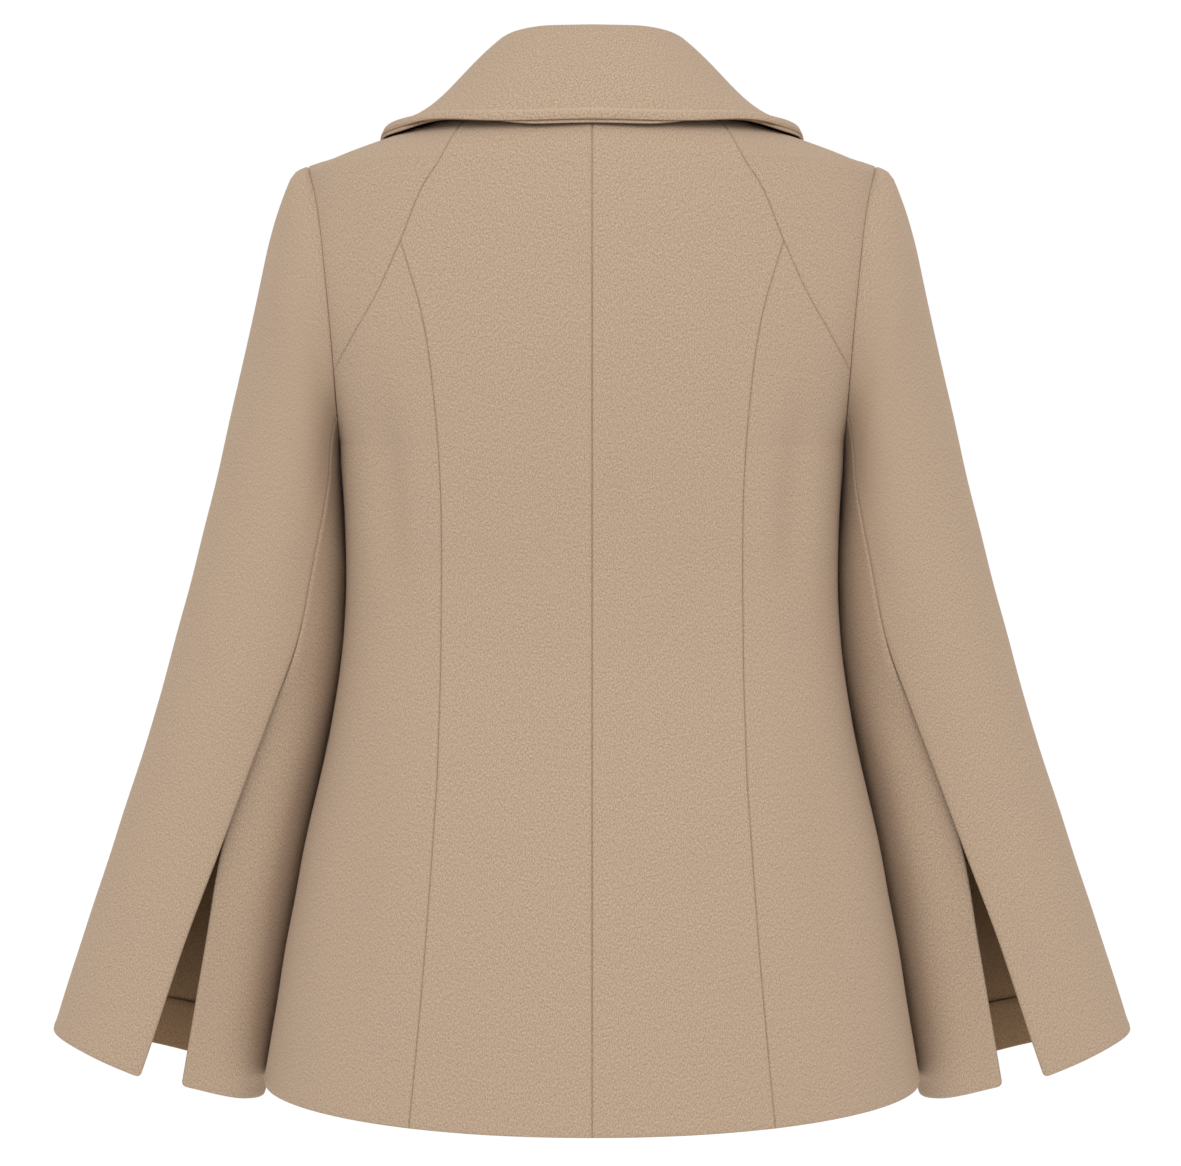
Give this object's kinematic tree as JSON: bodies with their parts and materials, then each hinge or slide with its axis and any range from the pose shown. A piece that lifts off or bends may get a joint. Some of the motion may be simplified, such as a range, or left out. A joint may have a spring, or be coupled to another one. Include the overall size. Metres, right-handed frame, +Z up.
{
  "type": "peacoat",
  "caption": "Hip-length wool peacoat in its worn, hollow form: wide turned-down collar, lapels, double-breasted front and flared sleeves slit at the back seam.",
  "frame": {"origin": "midway between the two shoulder points, at the height where the coat rests on the shoulders", "axes": "+Z up, the front faces -Y, the back +Y, and the wearer's left is +X"},
  "size_m": [0.7674, 0.3192, 0.7443],
  "materials": {
    "wool_melton": "matte, napped, heathered",
    "wool_inside": "matte, unlit side of the cloth",
    "button_horn": "satin"
  },
  "bodies": {
    "root": {"back_center_left": "wool_melton", "back_side_left": "wool_melton", "back_shoulder_left": "wool_melton", "front_left": "wool_melton", "lapel_left": "wool_melton", "top_sleeve_left": "wool_melton", "under_sleeve_left": "wool_melton", "back_center_right": "wool_melton", "back_side_right": "wool_melton", "back_shoulder_right": "wool_melton", "front_right": "wool_melton", "lapel_right": "wool_melton", "top_sleeve_right": "wool_melton", "under_sleeve_right": "wool_melton", "top_collar": "wool_melton", "under_collar": "wool_melton", "sleeve_hem_facing_left": "wool_inside", "sleeve_hem_facing_right": "wool_inside", "button_outer_1": "button_horn", "button_inner_1": "button_horn", "button_outer_2": "button_horn", "button_inner_2": "button_horn", "button_outer_3": "button_horn", "button_inner_3": "button_horn"}
  },
  "joints": []
}
